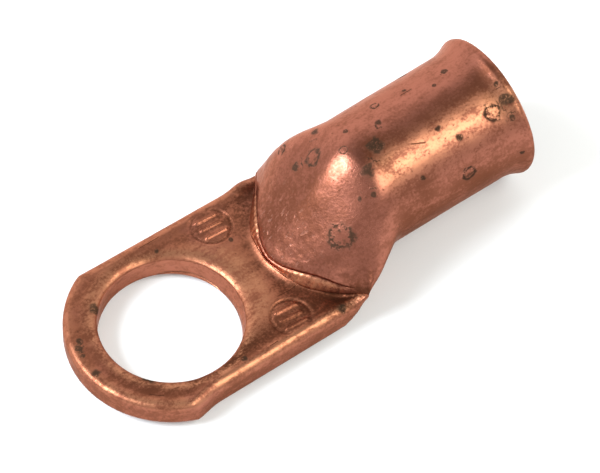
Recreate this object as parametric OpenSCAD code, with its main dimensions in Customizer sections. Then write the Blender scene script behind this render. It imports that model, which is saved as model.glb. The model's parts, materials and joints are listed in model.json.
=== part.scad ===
// Copper cable lug, formed from one length of tube. One end stays round and takes the
// cable. The other end is pressed flat, trimmed to an arc and punched for a stud.
// Origin: axis of the stud hole, on the underside of the palm.
// +X runs along the tube to its open mouth, +Z is up through the palm, and the near and
// far sides are -Y and +Y.

/* [Tube] */
// Outside diameter of the round tube
tube_od = 12.7; // [11.8:0.1:14]
// Thickness of the tube wall
wall = 1.25; // [1:0.05:1.5]
// Height of the tube's axis over the underside of the palm
axis_h = 6.25; // [5.8:0.05:6.8]

/* [Palm] */
// Diameter of the stud hole
stud_d = 13.5; // [11:0.1:14.5]
// Radius of the trimmed end, about the stud hole
end_r = 9.9; // [9.4:0.05:11]
// Thickness of the palm, which is two walls pressed together
palm_t = 2.6; // [2.5:0.05:3.2]
// Width of the palm along its straight sides
palm_w = 17.5; // [16.4:0.1:18]
// Distance from the stud hole's axis back to the corners where the arc meets the sides
corner_back = 3.6; // [2:0.1:6]
// Length over which the near side narrows from the corner to the palm's width, where the
// far side takes the whole palm
near_taper = 2.3; // [1.5:0.1:5]
// Radius that rounds the long folded edges on top
fold_r = 0.8; // [0.4:0.05:1.2]
// Radius that rounds the long folded edges underneath
under_r = 0.4; // [0.2:0.05:1.2]
// How far the edges of the trimmed end are eased
trim_ease = 0.4; // [0.2:0.05:0.7]
// How far the upper rim of the stud hole is eased, where the punch went in
rim_ease = 0.5; // [0.2:0.05:0.8]

/* [Nose] */
// Distance from the stud hole's axis to the lip of the nose
lip_x = 10.85; // [10.2:0.05:12]
// Height of the lip over the top of the palm, in its middle
lip_rise = 0.55; // [0.3:0.05:0.8]
// How far the pressed step under the lip leans forward, in its middle
step_run = 0.1; // [0.1:0.05:0.4]
// How much higher the lip is at its two shoulders, halfway to the ears
shoulder_rise = 0.55; // [0:0.05:0.7]
// How much further the step leans forward under the shoulders
shoulder_run = 0.7; // [0:0.05:0.9]
// How far the ends of the lip sweep back from its middle
lip_sweep = 5; // [3.5:0.1:6]
// How far the heel, where the nose's underside leaves the flat, lies behind the lip
heel_back = 1.6; // [1:0.1:3]
// How tight the bend in the middle of the lip is, as a share of its half width
lip_bend = 0.34; // [0.2:0.02:0.6]
// Distance from the middle plane to the near ear, where the lip runs out
near_ear = 8.9; // [8.7:0.05:9.3]
// Distance from the middle plane to the far ear
far_ear = 8.6; // [8.3:0.05:9.3]
// Share of the height by which the folded edges thin upward at the ears
ear_thin = 0.6; // [0.3:0.05:0.7]
// Length of the nose from its lip to the round tube
nose_l = 10.7; // [9.5:0.1:13]
// How tight the bend from the tube into the nose is, as a share of the nose's length
nose_bend = 0.12; // [0.08:0.01:0.3]
// How much the shoulders of the nose are domed instead of straight between bend and lip
dome = 0.85; // [0:0.05:1]
// How flat the front of the nose is pressed between its domed shoulders
front_flat = 1; // [0:0.05:1]

/* [Mouth] */
// Length of the round tube with its flared mouth
barrel_l = 14.8; // [12:0.25:30]
// Length of the flare
flare_l = 3; // [2:0.1:4]
// How far the flare opens out from the tube
flare_rise = 0.6; // [0.3:0.02:1]

/* [Seam] */
// Height of the open seam between the two pressed walls, where it shows in the stud hole
seam_h = 0.14; // [0.08:0.02:0.3]
// Greatest depth of that seam
seam_depth = 0.4; // [0.2:0.1:0.6]
// How far the seam's middle is off the hole's axis, so that it shows on one side only
seam_shift = 0.3; // [0.2:0.1:0.4]
// Height of the seam over the underside, where the punch has drawn it down
seam_z = 0.5; // [0.3:0.1:1.3]
// Direction of the seam's deepest place, from +X towards the far side
seam_turn = 38; // [0:1:90]

/* [Hidden] */
copper = "#b4654a";
$fn = 96;

// Steps round half a section, rings along the nose, and rings along the neck
half_steps = 32;
nose_steps = 14;
neck_steps = 5;
// How strongly the steps crowd toward the fold of a section: 1 would space them evenly
crowding = 1.35;
// Radius that rounds the ears' edges, as a share of the height there
ear_round = 0.45;
// Powers that hold a change to one part of a section: the thinning of the ears, the
// straight run of the nose's sides, the sweep of the heel, the flat of the nose's front,
// and the shoulders of the lip
ear_power = 6;
side_power = 10;
heel_power = 4;
front_power = 4;
shoulder_power = 3;
// Share of an eased rim that its first, steep slope takes
steep = 0.3;
// Length of the neck, over which the folded edges rise to the ears
neck_l = 2.6;
// Length by which the nose reaches into the end of the round tube, and the fine gap by
// which it then stays inside the tube's two faces
joint_l = 0.5;
joint_gap = 0.03;
// Smallest length that a cutter runs past what it cuts
past = 1;

tube_r = tube_od / 2;
bore_r = tube_r - wall;
tube_x = lip_x + nose_l;
mouth_x = tube_x + barrel_l;
flare_x = mouth_x - flare_l;
lip_h = palm_t + lip_rise;
foot_ear_x = lip_x + lip_sweep - step_run;
ear_x = lip_x + lip_sweep;
heel_x = lip_x + heel_back;
corner_x = -corner_back;
end_w = 2 * sqrt(end_r * end_r - corner_back * corner_back);

function mix(a, b, k) = a + (b - a) * k;
function clamp01(k) = max(0, min(1, k));
function smooth(k) = k * k * (3 - 2 * k);
// A slope from (0, 0) to (1, 1) that starts level and straightens: a small c bends tighter
function bent(k, c) = (sqrt(k * k + c * c) - c) / (sqrt(1 + c * c) - c);

// Places along half a section, from its top (0) past the fold (0.5) to its bottom (1),
// closer together at the fold
places = [for (i = [0 : half_steps])
    let (u = 2 * i / half_steps - 1) 0.5 + 0.5 * sign(u) * pow(abs(u), crowding)];

// Half of the round section, as [y, z]
function round_half(f, r) = [r * sin(180 * f), axis_h + r * cos(180 * f)];

// Half of a flattened section, walked by its length: flat top, upper corner of radius r,
// side, lower corner of radius q, flat underside
function flat_half(f, half_w, t, r, q) =
    let (top = half_w - r, upper = PI * r / 2, side = t - r - q, lower = PI * q / 2,
         whole = top + upper + side + lower + half_w - q, s = f * whole)
    s < top ? [s, t]
    : s < top + upper ? let (a = (s - top) / upper * 90) [top + r * sin(a), t - r + r * cos(a)]
    : s < top + upper + side ? [half_w, t - r - (s - top - upper)]
    : s < top + upper + side + lower ?
        let (a = (s - top - upper - side) / lower * 90)
        [half_w - q + q * cos(a), q - q * sin(a)]
    : [whole - s, 0];

// Lifts the underside of a flattened half section toward its top, most of all at the fold
function thin_fold(p, f, t, share) =
    [p[0], t - (t - p[1]) * (1 - share * pow(sin(180 * f), ear_power))];

// The lip of the nose as a bent ring: swept back on top, a straighter heel below
function ear_half(side) = side < 0 ? near_ear : far_ear;
function lip_back(f, k) =
    f < 0.5 ? lip_x + lip_sweep * bent(k, lip_bend) : mix(heel_x, ear_x, pow(k, heel_power));
function shoulder(k) = pow(sin(180 * k), shoulder_power);
function lip_point(f, side) =
    let (w = ear_half(side),
         r = ear_round * lip_h,
         p = thin_fold(flat_half(f, w, lip_h, r, r), f, lip_h, ear_thin),
         k = p[0] / w)
    [lip_back(f, k), p[0], p[1] + (f < 0.5 ? shoulder_rise * shoulder(k) : 0)];

// The nose at s, from the round tube (0) to the lip (1): each line leaves the tube at a
// tangent and runs down to the lip, domed at the shoulders and straight at the folds and
// down the front
function nose_fall(f, s) =
    let (g = bent(s, nose_bend),
         straight = pow(sin(180 * f), side_power) + front_flat * pow(cos(180 * f), front_power),
         domed = f < 0.5 ? dome * (1 - straight) : 0)
    mix(g, g * g, domed);
function nose_point(f, s, side) =
    let (b = round_half(f, tube_r), l = lip_point(f, side), g = nose_fall(f, s))
    [mix(tube_x, l[0], s), mix(b[0], l[1], g), mix(b[1], l[2], g)];

// The hollow inside the nose: the same lines drawn in by the wall
function hollow_point(f, s, side) =
    let (p = nose_point(f, s, side), g = nose_fall(f, s),
         k_y = 1 - wall / mix(tube_r, ear_half(side), g),
         k_z = 1 - wall / mix(tube_r, lip_h / 2, g), mid = mix(axis_h, lip_h / 2, g))
    [p[0], p[1] * k_y, mid + (p[2] - mid) * k_z];

// The palm: half its width at x, on the near side (-1) or the far side (1)
function palm_half(x, side) =
    let (taper = side < 0 ? near_taper : foot_ear_x - neck_l - corner_x)
    mix(end_w, palm_w, clamp01((x - corner_x) / taper)) / 2;
function palm_point(x, f, side) =
    let (p = flat_half(f, palm_half(x, side), palm_t, fold_r, under_r)) [x, p[0], p[1]];

// The neck at k, from the foot of the step (0) to the plain palm (1)
function neck_point(f, k, side) =
    let (lip = lip_point(f, side),
         x = lip[0] - step_run - shoulder_run * shoulder(lip[1] / ear_half(side)) - neck_l * k,
         w = mix(ear_half(side), palm_half(x, side), smooth(k)),
         r = ear_round * palm_t,
         p = flat_half(f, w, palm_t, mix(r, fold_r, k), mix(r, under_r, k)),
         q = thin_fold(p, f, palm_t, ear_thin * (1 - smooth(k))))
    [x, q[0], q[1]];

// A closed ring from two halves: down the far side, and up the near side
function ring(far, near) = concat(
    far, [for (i = [half_steps - 1 : -1 : 1]) [near[i][0], -near[i][1], near[i][2]]]);
function tube_ring(x, r) = ring([for (f = places) [x, each round_half(f, r)]],
                                [for (f = places) [x, each round_half(f, r)]]);
function hollow_ring(s) = ring([for (f = places) hollow_point(f, s, 1)],
                               [for (f = places) hollow_point(f, s, -1)]);
function nose_ring(s) = ring([for (f = places) nose_point(f, s, 1)],
                             [for (f = places) nose_point(f, s, -1)]);
function neck_ring(k) = ring([for (f = places) neck_point(f, k, 1)],
                             [for (f = places) neck_point(f, k, -1)]);
function palm_ring(x) = ring([for (f = places) palm_point(x, f, 1)],
                             [for (f = places) palm_point(x, f, -1)]);

// Joins rings of equal count into one closed skin. Each end is capped by a strip from the
// top of its ring to the bottom, so that a bent ring closes without crossing itself.
module skin(rings) {
    n = len(rings[0]);
    last = (len(rings) - 1) * n;
    sides = [for (r = [0 : len(rings) - 2], i = [0 : n - 1])
        let (a = r * n + i, b = r * n + (i + 1) % n) each [[a, b + n, b], [a, a + n, b + n]]];
    fold = half_steps / 2;
    cap = [for (k = [-fold : fold - 1])
        let (top = (k + n) % n, top_next = (k + 1 + n) % n,
             under = half_steps - k, under_next = half_steps - k - 1)
        each [[top, top_next, under_next], [top, under_next, under]]];
    end_cap = [for (t = cap) [t[2] + last, t[1] + last, t[0] + last]];
    polyhedron([for (r = rings) each r],
               [for (t = concat(sides, cap, end_cap))
                   if (t[0] != t[1] && t[1] != t[2] && t[0] != t[2]) t]);
}

// The pressed part before it is trimmed, in one skin: out through the hollow of the nose,
// round the end inside the tube, and back over the nose, the step, the neck and the palm
module pressed_skin() {
    skin(concat(
        [for (i = [nose_steps - 1 : -1 : 1]) hollow_ring(i / nose_steps)],
        [for (x = [tube_x, tube_x + joint_l]) tube_ring(x, bore_r + joint_gap)],
        [for (x = [tube_x + joint_l, tube_x]) tube_ring(x, tube_r - joint_gap)],
        [for (i = [1 : nose_steps]) nose_ring(i / nose_steps)],
        [for (i = [0 : neck_steps]) neck_ring(i / neck_steps)],
        [for (x = [corner_x + near_taper, corner_x, -end_r - past]) palm_ring(x)]));
}

// What the trim cuts away past the corners: all outside an arc about the stud hole, with
// eased edges
module trim_waste() {
    difference() {
        translate([corner_x - 2 * end_r, -2 * end_r, -past])
            cube([2 * end_r, 4 * end_r, palm_t + 2 * past]);
        rotate_extrude() polygon([
            [0, -2 * past], [end_r - trim_ease - 2 * past, -2 * past], [end_r, trim_ease],
            [end_r, palm_t - trim_ease], [end_r - trim_ease - 2 * past, palm_t + 2 * past],
            [0, palm_t + 2 * past]]);
    }
}

// The punched hole, with its eased upper rim, and the seam between the walls, a thin slot
// off the hole's axis that runs out on both sides
module stud_hole() {
    r = stud_d / 2;
    rotate([0, 0, seam_turn]) translate([seam_shift, 0, seam_z])
        cylinder(r = r + seam_depth - seam_shift, h = seam_h, center = true);
    rotate_extrude() polygon([
        [0, -past], [r, -past], [r, palm_t - rim_ease],
        [r + steep * rim_ease, palm_t - steep * rim_ease],
        [r + rim_ease + (1 - steep) * past, palm_t + steep * past],
        [0, palm_t + steep * past]]);
}

// Section of the round tube. Its flare is an arc that leaves the tube at a tangent, one
// wall thick, with a rounded lip.
module tube_section() {
    run = flare_l - wall / 2;
    turn = 2 * atan(flare_rise / run);
    mid_r = run / sin(turn);
    start_x = tube_x + joint_l / 2;
    translate([bore_r, start_x]) square([wall, flare_x - start_x]);
    translate([bore_r + wall / 2 + mid_r, flare_x]) {
        intersection() {
            difference() {
                circle(r = mid_r + wall / 2);
                circle(r = mid_r - wall / 2);
            }
            polygon([[0, 0], [-2 * mid_r, 0], [-2 * mid_r, 2 * mid_r * sin(turn)],
                     [-2 * mid_r * cos(turn), 2 * mid_r * sin(turn)]]);
        }
        translate([-mid_r * cos(turn), mid_r * sin(turn)]) circle(d = wall);
    }
}
module tube() {
    translate([0, 0, axis_h]) rotate([0, 90, 0]) rotate_extrude() tube_section();
}

module cable_lug() {
    color(copper) {
        tube();
        difference() {
            pressed_skin();
            stud_hole();
            trim_waste();
        }
    }
}

cable_lug();
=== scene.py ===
# %% [markdown]
# # A copper tube lug
#
# A lug joins a thick cable to a threaded stud. This one is a single length of copper
# tube: one end stays round and takes the cable, the other is pressed flat, trimmed to an
# arc and punched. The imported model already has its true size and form. This lesson gives
# it the looks: a finer skin with the marks of the press, and the finish of bare copper
# that has been lying about for a while.
#
# The frame is loaded first. Everything after it is placed from what the frame says.

# %% Load the frame
import json
import math

import bpy
import numpy as np
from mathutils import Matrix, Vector


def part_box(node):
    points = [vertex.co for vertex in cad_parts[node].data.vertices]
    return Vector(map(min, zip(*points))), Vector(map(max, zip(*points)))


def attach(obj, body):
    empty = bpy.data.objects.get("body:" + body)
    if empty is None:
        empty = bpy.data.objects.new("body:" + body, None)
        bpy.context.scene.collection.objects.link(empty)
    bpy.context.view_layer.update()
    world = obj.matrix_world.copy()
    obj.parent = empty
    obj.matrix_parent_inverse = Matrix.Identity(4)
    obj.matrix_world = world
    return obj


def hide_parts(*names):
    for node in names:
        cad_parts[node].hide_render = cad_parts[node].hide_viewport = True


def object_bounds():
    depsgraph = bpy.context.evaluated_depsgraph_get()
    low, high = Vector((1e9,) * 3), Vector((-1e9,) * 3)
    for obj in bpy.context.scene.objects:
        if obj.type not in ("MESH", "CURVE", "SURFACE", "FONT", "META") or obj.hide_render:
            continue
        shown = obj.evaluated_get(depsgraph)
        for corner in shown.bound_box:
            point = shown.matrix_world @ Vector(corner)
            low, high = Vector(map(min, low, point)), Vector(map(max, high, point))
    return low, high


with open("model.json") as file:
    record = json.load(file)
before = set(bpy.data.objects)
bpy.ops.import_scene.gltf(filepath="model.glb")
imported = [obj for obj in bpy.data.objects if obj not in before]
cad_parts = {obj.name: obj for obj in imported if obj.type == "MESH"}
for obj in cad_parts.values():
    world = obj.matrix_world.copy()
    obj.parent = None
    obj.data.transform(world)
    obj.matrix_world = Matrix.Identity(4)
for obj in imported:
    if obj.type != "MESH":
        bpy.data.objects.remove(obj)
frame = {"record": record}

cad_low, cad_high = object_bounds()
print("box of the packed model, in mm:", [round(c * 1000, 2) for c in (*cad_low, *cad_high)])

# %% [markdown]
# ## Sizes
#
# The stud hole's axis is the origin, X runs along the tube and Z is up. What the frame
# can tell is taken from it: its box and its mounts give the hole, the bore, the height of
# the tube's axis, the thickness of the palm and the reach of both ends. What is left are
# the sizes of the pressed forms. Each is written once, in millimetres, in the cell that
# first needs it.

# %% Sizes from the frame
MM = 0.001
low, high = (np.array(corner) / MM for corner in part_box("cable_lug"))
mounts = {mount["name"]: mount for mount in frame["record"]["mounts"]}
hole_r = mounts["stud_hole"]["dims"]["r_mm"]
bore_r = mounts["cable_entry"]["dims"]["r_mm"]
axis_h = mounts["cable_entry"]["pos_m"][2] / MM
palm_t = mounts["nut_seat"]["pos_m"][2] / MM
end_r = -low[0]        # radius of the trimmed end, about the hole's axis
end_half = high[1]     # half the palm's width at the end's two corners
mouth_x = high[0]
corner_x = -math.sqrt(end_r**2 - end_half**2)
print(f"hole {2 * hole_r:.2f}, bore {2 * bore_r:.2f}, palm {palm_t:.2f}, mouth at {mouth_x:.2f}")

# %% [markdown]
# ## Small helpers
#
# Four ways to get from one value to another do most of the shaping: a plain mix, an ease
# that starts and ends level, a bend that starts level and goes on straight, the way sheet
# metal leaves a die, and a late bend that runs on nearly level for a while first. A bell
# curve does the rest.

# %% Helpers
def mix(a, b, k):
    """A straight mix: a at k = 0, b at k = 1."""
    return a + (b - a) * k


def ease(k):
    """Rises from 0 to 1 and is level at both ends: k squared times (3 - 2k), held in 0..1."""
    k = np.clip(k, 0, 1)
    return k * k * (3 - 2 * k)


def bent(k, c):
    """A slope from (0, 0) to (1, 1) that starts level and straightens: a part of a hyperbola."""
    return (np.sqrt(k * k + c * c) - c) / (math.sqrt(1 + c * c) - c)


def late_bend(k, at, c):
    """A slope from (0, 0) to (1, 1) that stays nearly level up to k = at and then bends down
    over a length c: a hyperbola between two straight lines."""
    def height(t):
        return np.sqrt((t - at) ** 2 + c * c) + t
    return (height(k) - height(0)) / (height(1) - height(0))


def bell(x, width):
    """A bell curve, 1 at x = 0, that has fallen to 0.37 at x = width."""
    return np.exp(-((x / width) ** 2))


print(f"half way: mix {mix(0, 1, 0.5):.2f}, ease {ease(0.5):.2f}, bent {bent(0.5, 0.3):.2f}, "
      f"late bend {late_bend(0.5, 0.3, 0.2):.2f}, bell {bell(0.5, 1):.2f}")


# %% [markdown]
# ## Sections
#
# Half a section of the lug is walked from its top (f = 0) past the fold (f = 0.5) to its
# bottom (f = 1). Because the round tube and the flattened palm use the same f, a point
# can be followed from one into the other, just as the metal went.
#
# A tube that is pressed flat keeps a fold at each side. The flattened section is walked by
# its length, so its points stay evenly spaced round the fold.

# %% The flattened section
EAR_POWER = 6          # how closely the thinning of an ear keeps to its fold


def fold_span(half_w, t, r, q):
    """Where the rounded fold starts and ends along a flattened half section, as two f values."""
    top = half_w - r
    fold = math.pi / 2 * (r + q) + t - r - q
    whole = top + fold + half_w - q
    return top / whole, (top + fold) / whole


def flat_section(f, half_w, t, r, q, thin):
    """Half a flattened section, half_w wide and t thick, walked by its length: flat top, arc of
    radius r, side, arc of radius q, flat underside. thin lifts the underside toward the top,
    most of all at the fold."""
    top, side = half_w - r, t - r - q
    whole = top + math.pi / 2 * (r + q) + side + half_w - q
    s = f * whole
    upper = np.clip((s - top) / r, 0, math.pi / 2)
    down = np.clip(s - top - math.pi / 2 * r, 0, side)
    lower = np.clip((s - top - math.pi / 2 * r - side) / q, 0, math.pi / 2)
    back = np.clip(s - (whole - half_w + q), 0, None)
    y = np.minimum(s, top) + r * np.sin(upper) - q * (1 - np.cos(lower)) - back
    z = t - r * (1 - np.cos(upper)) - down - q * np.sin(lower)
    return y, t - (t - z) * (1 - thin * np.sin(math.pi * f) ** EAR_POWER)


half_ring = flat_section(np.linspace(0, 1, 5), 8, 2, 1, 1, 0)
print("half a section 8 wide and 2 thick, from top to bottom:", np.round(half_ring, 2).tolist())


# %% [markdown]
# ### The lip and the foot of the step
#
# In front the nose ends in a lip that stands a little above the palm. The die has swept it
# back to both sides, where it runs out into two small ears, and it is highest half way
# between the middle and an ear. The step from the lip down to the palm is steep in the
# middle and leans more at those shoulders. Both its ends are flattened sections whose
# points are moved along the tube, so the step needs no shape of its own.

# %% The lip and the foot
lip_x = 10.85          # from the hole's axis to the lip of the nose
lip_rise = 0.55        # height of the lip over the palm, in its middle
lip_sweep = 5.0        # how far the lip's ends sweep back
lip_bend = 0.34        # tightness of the bend in its middle
heel_back = 1.6        # how far the heel underneath lies behind the lip
step_run = 0.1         # lean of the step under the lip, in its middle
shoulder_rise = 0.55   # how much higher the lip is at its shoulders
shoulder_run = 0.7     # and how much more the step leans there
near_ear = 8.9         # half width where the lip runs out, near side
far_ear = 8.6          # and far side
ear_thin = 0.6         # share by which the ears are pressed thin
ear_round = 0.45       # rounding of the ears, as a share of their height
HEEL_POWER, SHOULDER_POWER = 4, 3

lip_h = palm_t + lip_rise
ear_x = lip_x + lip_sweep
heel_x = lip_x + heel_back
foot_ear_x = ear_x - step_run


def lip_line(f, k):
    """X of the lip at k, the share of its half width: swept back on top, straighter below."""
    swept = lip_x + lip_sweep * bent(k, lip_bend)
    return np.where(f < 0.5, swept, mix(heel_x, ear_x, k**HEEL_POWER))


def shoulder(k):
    """1 halfway between the middle of the lip and an ear, 0 at both: a power of a sine."""
    return np.sin(math.pi * np.clip(k, 0, 1)) ** SHOULDER_POWER


print(f"lip from x {lip_x:.2f} in the middle to {ear_x:.2f} at the ears, {lip_h:.2f} high")


# %% [markdown]
# The lip and the foot are the two ends of the step. Both are flattened sections as wide as
# the nose, bent along the lip's line, and only their thickness and their lean differ.

# %% Rings at the lip and at the foot
def pressed_ring(f, side, t):
    """A bent ring of thickness t that follows the lip, and the share of the half width it has
    reached at each point."""
    half_w = np.where(side < 0, near_ear, far_ear)
    y, z = flat_section(f, half_w, t, ear_round * t, ear_round * t, ear_thin)
    k = y / half_w
    return np.stack([lip_line(f, k), y * side, z], axis=-1), k


def lip_ring(f, side):
    """The lip: a pressed ring whose top rises toward the shoulders."""
    ring, k = pressed_ring(f, side, lip_h)
    ring[:, 2] += np.where(f < 0.5, shoulder_rise * shoulder(k), 0)
    return ring


def foot_ring(f, side):
    """The foot of the step: a pressed ring as thick as the palm, in front of the lip."""
    ring, k = pressed_ring(f, side, palm_t)
    ring[:, 0] -= step_run + shoulder_run * shoulder(k)
    return ring


tops = [lip_ring(f, 1)[0, 2] for f in np.array([[0.0], [0.25]])]
print(f"the lip's top is at z {tops[0]:.2f} in the middle and {tops[1]:.2f} on the way to an ear")


# %% [markdown]
# ### The tube and the nose
#
# A straight loft from the round tube to the lip would be a plain cone. The real nose keeps
# the memory of the tube: its crown runs on level for a while and then bends down in a
# hump, its shoulders stay domed, and only the folds at the sides come down straight. So
# each line along the nose gets its own share of the way, and the shoulders swell a little
# beyond it.

# %% The round tube
wall = 1.25            # wall of the tube
nose_l = 10.7          # from the lip to the round tube

tube_r = bore_r + wall
tube_x = lip_x + nose_l


def round_ring(f, side, x, r):
    """A ring of the round tube at x, of radius r about the tube's axis."""
    out, up = r * np.sin(math.pi * f), r * np.cos(math.pi * f)
    return np.stack([x + 0 * f, out * side, axis_h + up], axis=-1)


print(f"the tube is {2 * tube_r:.2f} across and starts at x {tube_x:.2f}")

# %% [markdown]
# Each line gets a share that runs from 0 at the tube to 1 at the lip. Three slopes are mixed
# by where the line lies on the section: a plain bend for the folds, its square for the domed
# shoulders, since a square stays low for longer, and a late bend for the crown.

# %% How each line of the nose comes down
nose_bend = 0.12       # tightness of the bend between tube and nose
dome = 0.85            # how far the nose's shoulders are domed
hump_at = 0.25         # share of the nose's length over which its crown runs on level
hump_bend = 0.20       # tightness of the bend after that
SIDE_POWER, FRONT_POWER = 10, 4


def nose_share(f, s):
    """How far a line of the nose has come down at s, from the tube (0) to the lip (1): straight
    at the folds, domed at the shoulders, and down the front flat after a level crown."""
    g = bent(s, nose_bend)
    front = np.where(f < 0.5, np.cos(math.pi * f) ** FRONT_POWER, 0)
    domed = np.where(f < 0.5, dome * (1 - np.sin(math.pi * f) ** SIDE_POWER - front), 0)
    return mix(mix(g, g * g, domed), late_bend(s, hump_at, hump_bend), front)


halfway = nose_share(np.array([0.0, 0.25, 0.5]), 0.5)
print("half way, crown, shoulder and fold have come down by", np.round(halfway, 2).tolist())

# %% [markdown]
# A ring of the nose is a mix of the tube's ring and the lip's by that share. The swell of the
# shoulders comes on top of it, since the pressed metal has to go somewhere. The hollow inside
# is the same ring, drawn in by the wall.

# %% Rings of the nose
far_swell = 1.0        # how far the nose's far shoulder bulges out, in its middle
near_swell = 0.4       # and the near shoulder
swell_f = 0.37         # where on the section a shoulder swells most
swell_width = 0.12     # and over how much of the section
SWELL_LATE = 1.3       # above 1 the swell lies nearer to the lip than to the tube


def nose_ring(f, side, s):
    """A ring of the nose at s: each line leaves the tube at a tangent and runs down to the lip,
    and the shoulders bulge out in between, most of all nearer to the lip."""
    tube, lip = round_ring(f, side, tube_x, tube_r), lip_ring(f, side)
    ring = mix(tube, lip, nose_share(f, s)[:, None])
    ring[:, 0] = mix(tube_x, lip[:, 0], s)
    swell = np.where(side < 0, near_swell, far_swell) * bell(f - swell_f, swell_width)
    swell = swell * math.sin(math.pi * s**SWELL_LATE)
    ring[:, 1] += swell * side * np.sin(math.pi * f)
    ring[:, 2] += swell * np.cos(math.pi * f)
    return ring


def hollow_ring(f, side, s):
    """A ring inside the nose: the nose's ring drawn in by the wall."""
    ring, g = nose_ring(f, side, s), nose_share(f, s)
    half_w = np.where(side < 0, near_ear, far_ear)
    middle = mix(axis_h, lip_h / 2, g)
    ring[:, 1] *= 1 - wall / mix(tube_r, half_w, g)
    ring[:, 2] = middle + (ring[:, 2] - middle) * (1 - wall / mix(tube_r, lip_h / 2, g))
    return ring


crown = nose_ring(np.zeros(3), 1, 0.5)[0]
print(f"half way along, the nose's crown is at x {crown[0]:.2f}, z {crown[2]:.2f}")


# %% [markdown]
# ## Two grids, one skin
#
# A closed skin over a plate with a hole and a tube needs two grids. The palm is a set of
# columns round the stud hole: each starts under the palm, goes in to the hole, up its
# wall and out again over the top. Away from the nose a column goes on over the folded
# edge and closes on itself. Between the two ears it stays open, and there the nose's
# rings take over. Both grids share the points in which they meet, so there is no seam.
#
# The columns stand closest where the two die stamps are pressed in, since their thin
# lines need the finest mesh.

# %% How fine the grids are
OPEN_COLUMNS = 130     # columns between the ears
EDGE_ROWS = 12         # points across a folded edge
SIDE_COLUMNS = 88      # columns along each straight side
ARC_COLUMNS = 76       # columns round the trimmed end

near_span = fold_span(near_ear, palm_t, ear_round * palm_t, ear_round * palm_t)
far_span = fold_span(far_ear, palm_t, ear_round * palm_t, ear_round * palm_t)
across = np.linspace(-1, 1, OPEN_COLUMNS)
open_side = np.where(across < 0, -1.0, 1.0)
open_f = np.abs(across) * np.where(across < 0, near_span[0], far_span[0])
edge_g = np.arange(1, EDGE_ROWS + 1) / (EDGE_ROWS + 1)
ring_f = np.concatenate([
    open_f, mix(far_span[0], far_span[1], edge_g),
    1 - open_f[::-1], mix(near_span[1], near_span[0], edge_g)])
ring_side = np.concatenate([
    open_side, np.ones(EDGE_ROWS), open_side[::-1], -np.ones(EDGE_ROWS)])
print(len(ring_f), "points in a ring of the nose")


# %% [markdown]
# ### The palm's outline
#
# Seen from above the outline runs from the far ear along the far side, round the trimmed
# end and back along the near side. Each of its columns knows where its edge is, which way
# that edge faces and how it is rounded.
#
# The outline isn't a plain strip. It is widest at the two corners of the trimmed end. From
# there the near side narrows at once to the plain width and the far side little by little,
# and a short neck leads over to the width of each ear.

# %% Half the palm's width
palm_half = 8.75       # half the palm's width along its straight sides
near_taper = 2.3       # length over which the near side narrows from the corner
neck_l = 2.6           # length of the neck in front of the ears


def plain_half(x, side):
    """Half the palm's width at x: the corner's width that narrows to the plain width."""
    taper = near_taper if side < 0 else foot_ear_x - neck_l - corner_x
    return mix(end_half, palm_half, np.clip((x - corner_x) / taper, 0, 1))


def smooth_along(values, width):
    """Evens out values along the outline by a bell-shaped average; the ends stay."""
    reach = np.arange(-3 * width, 3 * width + 1)
    weights = bell(reach, width)
    padded = np.pad(values, (3 * width, 3 * width), mode="reflect", reflect_type="odd")
    return np.convolve(padded, weights / weights.sum(), mode="valid")


print("half widths from the corner to the neck, near side:",
      np.round(plain_half(np.linspace(corner_x, foot_ear_x - neck_l, 4), -1), 2).tolist())

# %% [markdown]
# The columns are placed along the outline and stand closest beside the nose, where the stamps
# lie. The trimmed end is an arc about the hole's axis.

# %% The outline in plan
SIDE_CROWDING = 1.7    # how much closer the side columns stand beside the nose

side_k = np.linspace(0, 1, SIDE_COLUMNS + 1)[1:] ** SIDE_CROWDING
side_x = mix(foot_ear_x, corner_x, side_k)
corner_turn = math.acos(corner_x / end_r)
turn = np.linspace(corner_turn, 2 * math.pi - corner_turn, ARC_COLUMNS + 1)[1:-1]
edge_x = np.concatenate([side_x, end_r * np.cos(turn), side_x[::-1]])
neck_k = np.clip((foot_ear_x - edge_x) / neck_l, 0, 1)
half_far = mix(far_ear, plain_half(side_x, 1), ease((foot_ear_x - side_x) / neck_l))
half_near = mix(near_ear, plain_half(side_x, -1), ease((foot_ear_x - side_x) / neck_l))
edge_y = np.concatenate([half_far, end_r * np.sin(turn), -half_near[::-1]])
print(len(edge_x), "columns close over the edge")

# %% [markdown]
# A straight side faces sideways, and the arc faces away from the hole. At the two corners
# these values would jump, so all of them are evened out over a few columns.

# %% Which way the edge faces and how it is rounded
CORNER_SOFTNESS = 1    # columns over which the two corners are evened out
fold_r = 1.0           # rounding of the long folded edges on top
under_r = 0.4          # and underneath
trim_r = 0.6           # rounding of the trimmed end's edges

side_count = len(side_x)
face_x = np.concatenate([np.zeros(side_count), np.cos(turn), np.zeros(side_count)])
face_y = np.concatenate([np.ones(side_count), np.sin(turn), -np.ones(side_count)])
on_arc = np.concatenate([np.zeros(side_count), np.ones(len(turn)), np.zeros(side_count)])
edge_x, edge_y, face_x, face_y, on_arc = (
    smooth_along(v, CORNER_SOFTNESS) for v in (edge_x, edge_y, face_x, face_y, on_arc))
face_length = np.hypot(face_x, face_y)
face_x, face_y = face_x / face_length, face_y / face_length
top_r = mix(mix(ear_round * palm_t, fold_r, neck_k), trim_r, on_arc)
low_r = mix(mix(ear_round * palm_t, under_r, neck_k), trim_r, on_arc)
print(f"rounding on top from {top_r.min():.2f} to {top_r.max():.2f} mm")

# %% [markdown]
# ### The folded edges
#
# Along its sides the palm ends in the folds of the pressed tube, which are round on top and
# tighter below. The trimmed end was sheared and only has its edges broken. All of these are
# the edge of one flattened section with other roundings, so one function gives every point.

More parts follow.
